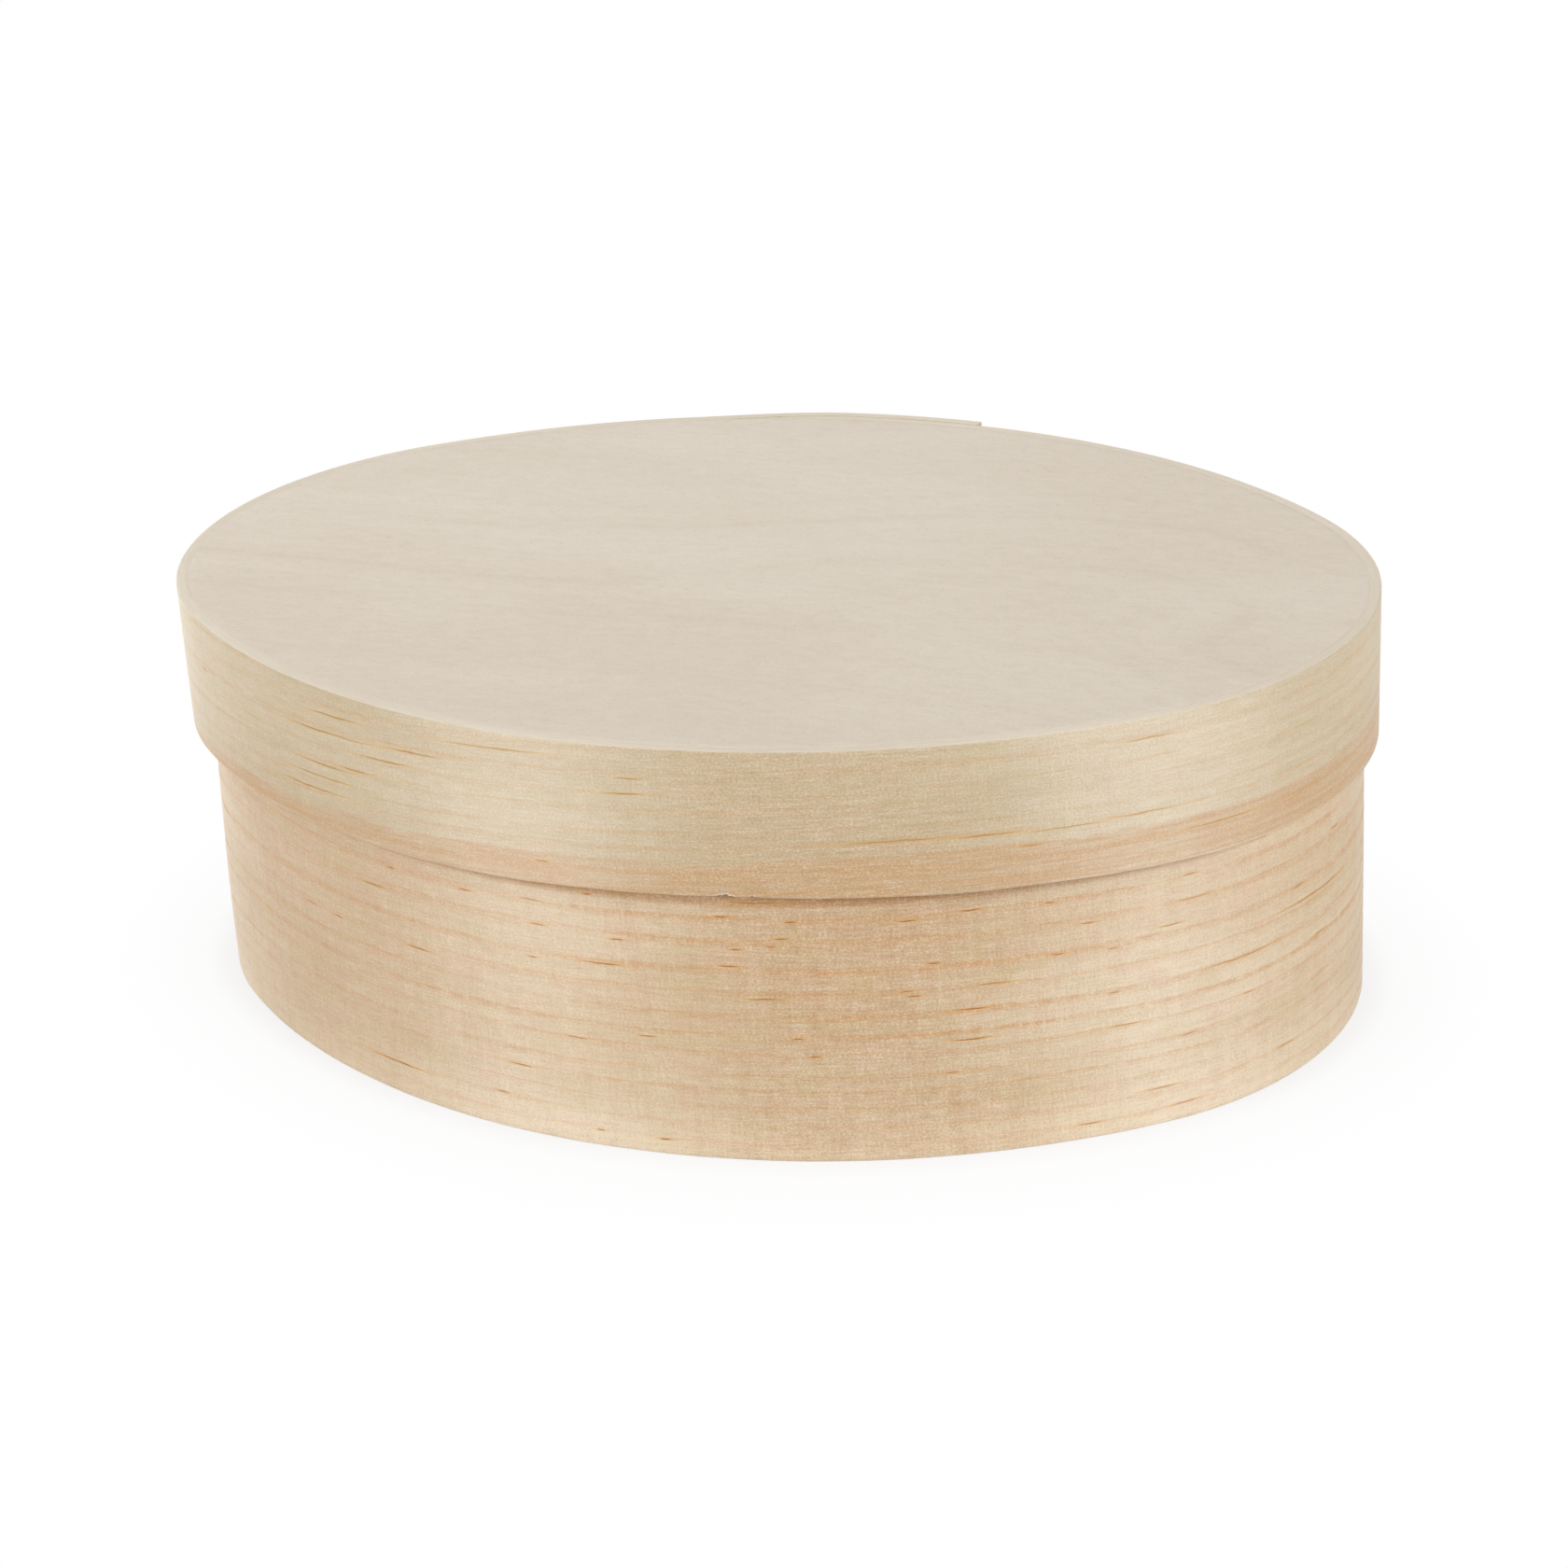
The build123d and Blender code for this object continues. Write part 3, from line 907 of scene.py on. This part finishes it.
class CHEESEBOX_OT_lid_band(bpy.types.Operator):
    """Add the lid's bent strip, with its stepped lap at the back"""

    bl_idname = "cheesebox.lid_band"
    bl_label = "Lid band"

    def execute(self, context):
        sizes = context.scene.cheese_box_sizes
        strip = Strip(lid_oval(sizes), sizes.veneer, sizes.glue_line, LID_LAP)

        def low_edge(along):
            mm = along / MM
            rise = 0.8 * bump_at(mm, 25, 34) - 0.22 * bump_at(mm, 40, 60) - 0.45
            return (rise + waves(mm, ((61, 0.05, 0.4), (23, 0.03, 1.7), (9, 0.015, 0.2)))) * MM

        def high_edge(along):
            return (waves(along / MM, ((74, 0.01, 2.1), (31, 0.008, 0.3))) - 0.02) * MM

        def relief(along, height, share):
            mm = along / MM
            curl = -(0.26 * bump_at(mm, 15, 90) + 0.3 * bump_at(mm, 85, 32)) * (1 - share) ** 2
            wander = (1 - share) * (waves(mm, ((96, 0.07, 1.1), (41, 0.04, 0.3))) - 0.11) + curl
            surface = waves(height / MM, ((3.3, 0.012, 0.0),)) + waves(mm, ((13, 0.015, 0.5),))
            return (wander - 0.02) * MM, (surface - 0.03) * MM

        chips = ((0.0221, 0.0012, 0.0004, 0.0004), (0.0263, 0.0006, 0.0003, 0.0003))
        roundings = sizes.edge_rounding, 0.14 * sizes.edge_rounding
        piece = make_strip(
            "lid_band_veneer", strip, lid_low.z, lid_high.z, roundings,
            relief, low_edge, high_edge, step=0.0011, rows=40, chips=chips,
        )
        veneer = veneer_finish("Straw pine veneer", LID_LOOK, lid_low.z, lid_high.z)
        piece.data.materials.append(veneer)
        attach(piece, "lid")
        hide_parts("lid_band")
        return {"FINISHED"}


class CHEESEBOX_OT_base_band(bpy.types.Operator):
    """Add the base's bent strip, with its thin scarfed lap at the back"""

    bl_idname = "cheesebox.base_band"
    bl_label = "Base band"

    def execute(self, context):
        sizes = context.scene.cheese_box_sizes
        strip = Strip(base_oval(sizes), sizes.veneer, sizes.glue_line, BASE_LAP)

        def low_edge(along):
            return (0.05 + waves(along / MM, ((57, 0.03, 0.9), (17, 0.015, 0.2)))) * MM

        def high_edge(along):
            return waves(along / MM, ((88, 0.03, 0.9), (29, 0.02, 1.2))) * MM - 0.06 * MM

        def relief(along, height, share):
            mm = along / MM
            wander = share * (1 - share) * 4 * waves(mm, ((120, 0.12, 0.7), (47, 0.05, 2.3)))
            lean = -1.0 * bump_at(mm, -118, 34) * eased((height / MM - 6) / 42)
            surface = waves(height / MM, ((3.4, 0.018, 0.0),)) + waves(mm, ((11, 0.015, 0.5),))
            return (wander + lean) * MM, surface * MM

        roundings = sizes.edge_rounding, sizes.edge_rounding
        piece = make_strip(
            "base_band_veneer", strip, base_low.z, base_high.z, roundings,
            relief, low_edge, high_edge, step=0.00125, rows=83,
        )
        veneer = veneer_finish("Ringed pine veneer", BASE_LOOK, base_low.z, base_high.z)
        piece.data.materials.append(veneer)
        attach(piece, "base")
        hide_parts("base_band")
        return {"FINISHED"}


def make_panel(name, oval, low, high, inset, gap, ease, top_is_outside):
    """An oval sheet with eased edges, drawn as rings that shrink towards its middle.

    gap tells how wide the glue line is at a distance along the oval.
    """
    stations = PANEL_STATIONS
    along = np.arange(stations) / stations * oval.girth
    edge, normal = oval.follow(along)
    rim = edge - normal * (inset + gap(along))[:, None]
    top_ease = ease if top_is_outside else 0.6 * ease
    low_ease = 0.6 * ease if top_is_outside else ease

    # Rings, from the middle of the underside to that of the top: how far in, how high, how shrunk
    rings = [(low_ease, low, share) for share in PANEL_RINGS[::-1]]
    rings.append((0.3 * low_ease, low + 0.3 * low_ease, 1.0))
    rings += [(0.0, height, 1.0) for height in (low + low_ease, (low + high) / 2, high - top_ease)]
    rings.append((0.3 * top_ease, high - 0.3 * top_ease, 1.0))
    rings += [(top_ease, high, share) for share in PANEL_RINGS]
    inward, height, share = np.array(rings).T[:, :, None, None]
    places = (rim - normal * inward) * share
    points = np.concatenate([places, height + 0 * places[..., :1]], -1).reshape(-1, 3)
    middles = len(points)
    points = np.concatenate([points, [[0, 0, low], [0, 0, high]]])

    quads = closed_grid(len(rings), stations)
    at = np.arange(stations)
    after = (at + 1) % stations
    last = middles - stations
    bottom = np.stack([middles + 0 * at, after, at], -1)
    top = np.stack([middles + 1 + 0 * at, last + at, last + after], -1)
    faces = quads.reshape(-1, 4).tolist() + bottom.tolist() + top.tolist()

    # Bake places: the outer side large, the inner side small below it, and the edge in rows
    half = np.abs(points[:, :2]).max(0)
    main_scale = (0.5 - BAKE_MARGIN) / half[0]
    main_half_y = half[1] * main_scale
    spare = 1 - 2 * main_half_y - 4 * BAKE_MARGIN
    small_scale = 0.5 * spare / half[1] * 0.78
    main_middle = np.array((0.5, 1 - BAKE_MARGIN - main_half_y))
    small_middle = BAKE_MARGIN + half * small_scale

    def flat_side(faces, outside):
        """The grain places and bake places of one flat side."""
        spots = points[faces, :2].reshape(-1, 2)
        if outside:
            return spots, main_middle + spots * main_scale
        return spots + (SHEET_INSIDE_GRAIN, 0), small_middle + spots * small_scale

    def narrow_side(faces):
        """The grain places and bake places of the edge."""
        z = points[faces, 2]
        station = at[:, None] + (0, 1, 1, 0)
        row = at[:, None] * EDGE_ROWS // stations
        left = 2 * small_middle[0] + BAKE_MARGIN
        across = left + (station * EDGE_ROWS / stations - row) * (1 - left - BAKE_MARGIN)
        up = row + 0.1 + 0.8 * (z - low) / (high - low)
        spots = pairs(across, BAKE_MARGIN + up * spare / (EDGE_ROWS + 1))
        return pairs(station / stations * oval.girth, z + SHEET_EDGE_GRAIN), spots

    lows = len(PANEL_RINGS) - 1
    parts = (
        flat_side(quads[:lows], not top_is_outside),
        narrow_side(quads[lows:-lows]),
        flat_side(quads[-lows:], top_is_outside),
        flat_side(bottom, not top_is_outside),
        flat_side(top, top_is_outside),
    )
    grain, flat = (np.concatenate(places) for places in zip(*parts))
    return build_mesh(name, points, faces, grain, flat)


class CHEESEBOX_OT_lid_panel(bpy.types.Operator):
    """Add the oval sheet that closes the lid"""

    bl_idname = "cheesebox.lid_panel"
    bl_label = "Lid panel"

    def execute(self, context):
        sizes = context.scene.cheese_box_sizes

        def gap(along):
            """The glue has shrunk most at the right of the front, where the seam shows."""
            return (0.006 + 0.09 * bump_at(along / MM, 100, 26)) * MM

        piece = make_panel(
            "lid_panel_sheet", lid_oval(sizes), lid_panel_low.z, lid_panel_high.z, sizes.veneer,
            gap, ease=0.00002, top_is_outside=True,
        )
        piece.data.materials.append(sheet_finish("Pale lid sheet", SHEET_LOOK))
        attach(piece, "lid")
        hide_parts("lid_panel")
        return {"FINISHED"}


class CHEESEBOX_OT_base_panel(bpy.types.Operator):
    """Add the oval sheet that closes the base"""

    bl_idname = "cheesebox.base_panel"
    bl_label = "Base panel"

    def execute(self, context):
        sizes = context.scene.cheese_box_sizes

        def gap(along):
            return (0.08 + 0.04 * np.sin(along / MM / 31)) * MM

        piece = make_panel(
            "base_panel_sheet", base_oval(sizes), base_panel_low.z, base_panel_high.z, sizes.veneer,
            gap, ease=0.00015, top_is_outside=False,
        )
        piece.data.materials.append(sheet_finish("Pale base sheet", {**SHEET_LOOK, "seed": 53}))
        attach(piece, "base")
        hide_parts("base_panel")
        return {"FINISHED"}


# Name, azimuth and rise in degrees, distance, width and height in metres, and strength
LAMPS = (
    ("left_softbox", -126, 25, 1.2, 0.6, 0.5, 0.535),
    ("left_window", -133, 25, 1.2, 1.1, 0.5, 0.11),
    ("right_softbox", -29, 25, 2.0, 0.7, 0.9, 0.345),
    ("right_window", -20, 25, 2.0, 1.9, 0.9, 0.085),
    ("right_doorway", -3, 25, 1.8, 1.1, 0.7, 0.345),
    ("far_softbox", 153, 12, 1.2, 0.7, 0.6, 0.13),
    ("back_softbox", 120, 30, 1.0, 0.6, 0.5, 0.185),
)
BOX_MIDDLE = Vector((0, 0, 0.03))  # where the lamps point
FLOOR_REACH = 6.0
PLAIN_WHITE = (1.0, 1.0, 1.0, 1.0)
CAMERA_PLACE = Vector((0.2330, -0.5401, 0.2874))
CAMERA_TURN = -0.4052  # from the back, clockwise seen from above, in radians
CAMERA_DOWN = 0.4129
CAMERA_ROLL = 0.0594
SENSOR_MM = 36


def add_camera(studio):
    """The camera stands where the photograph was taken from."""
    data = bpy.data.cameras.new("studio_camera")
    data.lens = studio.focal_length
    data.sensor_width = SENSOR_MM
    data.clip_start = 0.01
    camera = bpy.data.objects.new("studio_camera", data)
    camera.matrix_world = (
        Matrix.Translation(CAMERA_PLACE)
        @ Matrix.Rotation(-CAMERA_TURN, 4, "Z")
        @ Matrix.Rotation(pi / 2 - CAMERA_DOWN, 4, "X")
        @ Matrix.Rotation(-CAMERA_ROLL, 4, "Z")
    )
    bpy.context.scene.collection.objects.link(camera)
    bpy.context.scene.camera = camera


def add_lamp(name, azimuth, rise, distance, width, height, strength):
    """A soft rectangular lamp that faces the box. A white face square to it gets its strength."""
    azimuth, rise = radians(azimuth), radians(rise)
    towards = Vector((cos(azimuth) * cos(rise), sin(azimuth) * cos(rise), sin(rise)))
    data = bpy.data.lights.new(name, "AREA")
    data.shape = "RECTANGLE"
    data.size = width
    data.size_y = height
    data.energy = strength * pi * pi * distance**2
    lamp = bpy.data.objects.new(name, data)
    lamp.location = towards * distance + BOX_MIDDLE
    lamp.rotation_euler = (-towards).to_track_quat("-Z", "Y").to_euler()
    bpy.context.scene.collection.objects.link(lamp)


def white_to_the_eye(finish, lit, white_share):
    """Mixes plain white over a shader for what the camera and reflections see directly."""
    path = finish.node("ShaderNodeLightPath", {}, {})
    seen = path.part("Is Camera Ray") + path.part("Is Glossy Ray")
    seen = seen + path.part("Is Transmission Ray")
    share = seen.at_most(1.0) * white_share
    white = finish.node("ShaderNodeEmission", {}, {"Color": PLAIN_WHITE, "Strength": 1.0})
    return finish.node("ShaderNodeMixShader", {}, {0: share, 1: lit, 2: white})


class CHEESEBOX_OT_studio(bpy.types.Operator):
    """Add the pale floor, the soft light and the camera"""

    bl_idname = "cheesebox.studio"
    bl_label = "Studio"

    def execute(self, context):
        studio = context.scene.cheese_box_studio
        add_camera(studio)

        # Floor
        finish = Finish(bpy.data.materials.new("Pale floor"))
        paint = {"Base Color": (*studio.backdrop, 1.0), "Roughness": 0.9}
        lit = finish.node("ShaderNodeBsdfPrincipled", {}, paint)
        place = finish.node("ShaderNodeNewGeometry", {}, {})
        foot = base_oval(context.scene.cheese_box_sizes)
        across = finish.node("ShaderNodeSeparateXYZ", {}, {0: finish.vector("ABSOLUTE", place)})
        along = across.part(1)
        from_end = ((across - foot.end_centre) ** 2.0 + along**2.0) ** 0.5 - foot.end_radius
        from_side = (across**2.0 + (along + foot.side_centre) ** 2.0) ** 0.5 - foot.side_radius
        at_side = ((along + foot.side_centre) * foot.end_centre).above(across * foot.side_centre)
        from_foot = from_end + (from_side - from_end) * at_side
        close, near = (finish.fade(from_foot, 0.0, reach) for reach in (0.006, 0.025))
        white = 0.76 + 0.16 * close + 0.075 * near
        shown = white_to_the_eye(finish, lit, white)
        finish.node("ShaderNodeOutputMaterial", {}, {"Surface": shown})
        mesh = bpy.data.meshes.new("studio_floor")
        signs = ((-1, -1), (1, -1), (1, 1), (-1, 1))
        corners = [(x * FLOOR_REACH, y * FLOOR_REACH, 0) for x, y in signs]
        mesh.from_pydata(corners, [], [(0, 1, 2, 3)])
        mesh.materials.append(finish.owner)
        floor = bpy.data.objects.new("studio_floor", mesh)
        context.scene.collection.objects.link(floor)

        # Surrounding light
        around = Finish(bpy.data.worlds.new("studio_surround"))
        level = studio.surrounding_light
        even = around.node("ShaderNodeBackground", {}, {"Color": PLAIN_WHITE, "Strength": level})
        surface = white_to_the_eye(around, even, 1.0)
        around.node("ShaderNodeOutputWorld", {}, {"Surface": surface})
        context.scene.world = around.owner

        # Lamps
        for lamp in LAMPS:
            add_lamp(*lamp)
        context.scene.view_settings.view_transform = "Standard"
        return {"FINISHED"}


class CHEESEBOX_PT_sidebar(bpy.types.Panel):
    """Lists the pieces of the cheese box"""

    bl_label = "Cheese Box"
    bl_idname = "CHEESEBOX_PT_sidebar"
    bl_space_type = "VIEW_3D"
    bl_region_type = "UI"
    bl_category = "Cheese Box"

    def draw(self, context):
        layout = self.layout
        sizes = context.scene.cheese_box_sizes
        studio = context.scene.cheese_box_studio
        for name in ("end_radius", "veneer", "glue_line", "edge_rounding"):
            layout.prop(sizes, name)
        for operator in PIECES:
            layout.operator(operator.bl_idname)
        for name in ("focal_length", "surrounding_light", "backdrop"):
            layout.prop(studio, name)
        layout.operator(CHEESEBOX_OT_studio.bl_idname)


PIECES = (
    CHEESEBOX_OT_base_band,
    CHEESEBOX_OT_base_panel,
    CHEESEBOX_OT_lid_band,
    CHEESEBOX_OT_lid_panel,
)
CLASSES = (CheeseBoxSizes, CheeseBoxStudio, *PIECES, CHEESEBOX_OT_studio, CHEESEBOX_PT_sidebar)


def register():
    for item in CLASSES:
        bpy.utils.register_class(item)
    bpy.types.Scene.cheese_box_sizes = PointerProperty(type=CheeseBoxSizes)
    bpy.types.Scene.cheese_box_studio = PointerProperty(type=CheeseBoxStudio)


def unregister():
    del bpy.types.Scene.cheese_box_studio
    del bpy.types.Scene.cheese_box_sizes
    for item in reversed(CLASSES):
        bpy.utils.unregister_class(item)


def main():
    register()
    bpy.ops.cheesebox.studio()
    bpy.ops.cheesebox.base_band()
    bpy.ops.cheesebox.base_panel()
    bpy.ops.cheesebox.lid_band()
    bpy.ops.cheesebox.lid_panel()


if __name__ == "__main__":
    main()
